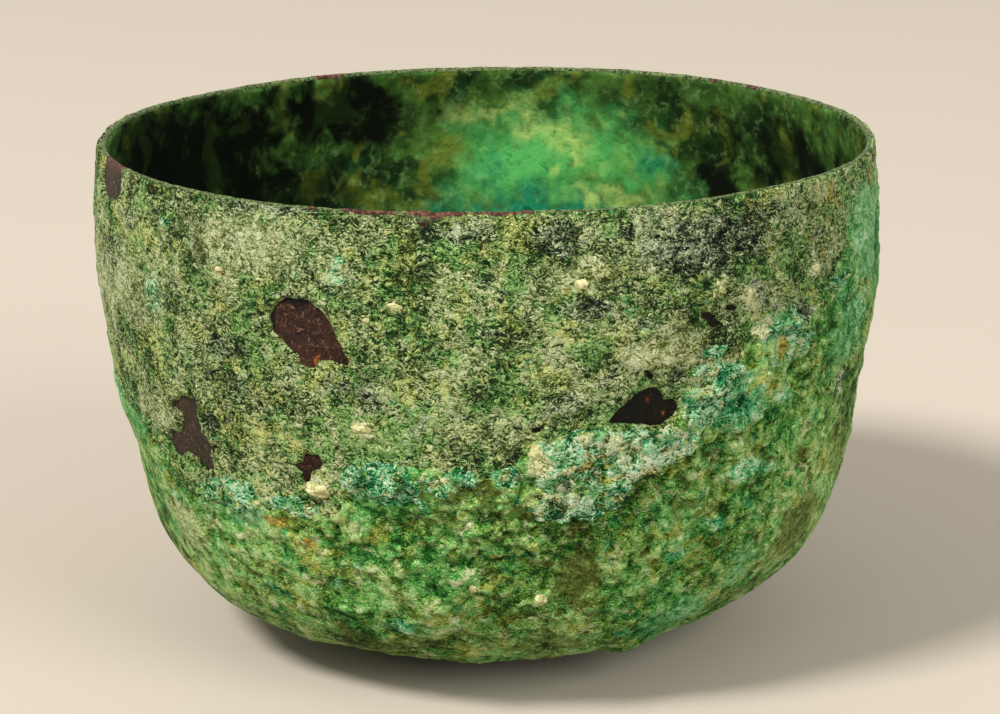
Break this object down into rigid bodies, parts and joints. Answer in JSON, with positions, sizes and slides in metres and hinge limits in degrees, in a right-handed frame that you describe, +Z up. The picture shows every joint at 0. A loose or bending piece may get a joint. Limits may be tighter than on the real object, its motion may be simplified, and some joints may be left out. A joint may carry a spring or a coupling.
{
  "type": "hammered copper bowl",
  "caption": "Deep round-bottomed hammered copper bowl, handle-less and open, with a green mineral patina, a thicker crust low down and flaked windows showing brown metal.",
  "frame": {"origin": "centre of the flat spot that the bowl rests on, on the bowl's axis", "axes": "+Z up along the bowl's axis and out of its mouth; -Y faces the front, the side with the flaked windows and the raised mineral plate; +X to the right of it"},
  "size_m": [0.1524, 0.1524, 0.098],
  "materials": {
    "bare_copper": "satin",
    "outer_patina": "matte",
    "inner_patina": "matte",
    "lower_crust": "matte",
    "teal_mineral": "matte",
    "lime": "matte"
  },
  "bodies": {
    "root": {"copper_shell": "bare_copper", "outer_patina": "outer_patina", "inner_patina": "inner_patina", "lower_crust": "lower_crust", "mineral_ledge": "teal_mineral", "mineral_plate": "teal_mineral", "lime_nodules": "lime"}
  },
  "joints": []
}
